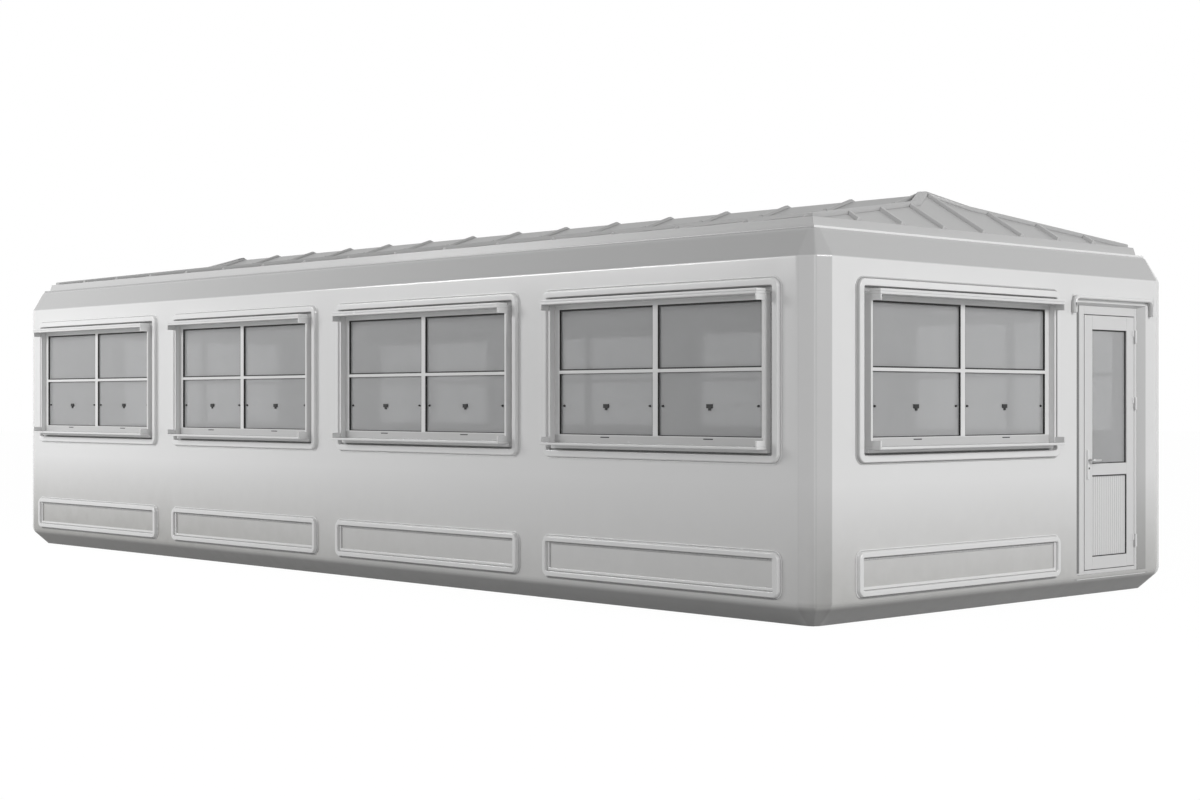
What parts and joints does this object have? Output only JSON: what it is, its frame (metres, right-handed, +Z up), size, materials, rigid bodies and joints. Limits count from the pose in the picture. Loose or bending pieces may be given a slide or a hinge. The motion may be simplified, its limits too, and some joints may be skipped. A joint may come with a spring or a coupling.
{
  "type": "kiosk cabin",
  "caption": "Long moulded kiosk cabin with faceted corners, a sloped base, a low ribbed hip roof, tray-framed sash windows and a glazed end door on hinges.",
  "frame": {"origin": "middle of the base, on the ground", "axes": "+X along the cabin towards the door end, +Z up, the seen long wall faces -Y"},
  "size_m": [10.13, 4.13, 2.7889],
  "materials": {
    "shell": "glossy gel-coated moulded shell, pale grey white",
    "roof": "moulded roof skin, satin pale grey",
    "trim": "smooth white profile",
    "lining": "matt pale lining",
    "floor": "matt grey sheet flooring",
    "glass": "clear, faintly grey",
    "metal": "satin"
  },
  "bodies": {
    "cabin": {"base_pan": "shell", "floor_deck": "floor", "front_wall": "shell", "front_piers": "shell", "back_wall": "shell", "back_piers": "shell", "far_end_wall": "shell", "far_end_piers": "shell", "door_end_wall": "shell", "door_end_piers": "shell", "corner_posts": "shell", "ceiling": "lining", "cornice_long": "shell", "cornice_ends": "shell", "eave_strip": "trim", "fascia_long": "roof", "fascia_ends": "roof", "roof_front": "roof", "roof_back": "roof", "roof_hips": "roof", "roof_ribs": "roof", "hip_ribs": "roof", "hip_caps": "roof", "window_surrounds": "shell", "panel_frames": "shell", "window_jambs": "trim", "window_heads": "trim", "window_sills": "trim", "tray_cheeks": "trim", "window_glass": "glass", "door_jambs": "trim", "door_head": "trim", "door_sill": "trim", "door_stops": "trim", "door_threshold": "shell", "door_hood": "shell", "frame_hinges": "metal"},
    "door": {"door_stiles": "trim", "door_rails": "trim", "door_glass": "glass", "door_panel": "trim", "leaf_hinges": "metal", "handle_plates": "metal"},
    "lever": {"door_levers": "metal"}
  },
  "joints": [
    {"name": "door_swing", "type": "hinge", "parent": "cabin", "child": "door", "pos_m": [4.922, 1.5675, 1], "axis": [0, 0, 1], "range_deg": [0, 105]},
    {"name": "lever_turn", "type": "hinge", "parent": "door", "child": "lever", "pos_m": [4.91, 0.976, 0.945], "axis": [-1, 0, 0], "range_deg": [0, 40], "stiffness_Nm_per_rad": 1.5}
  ]
}
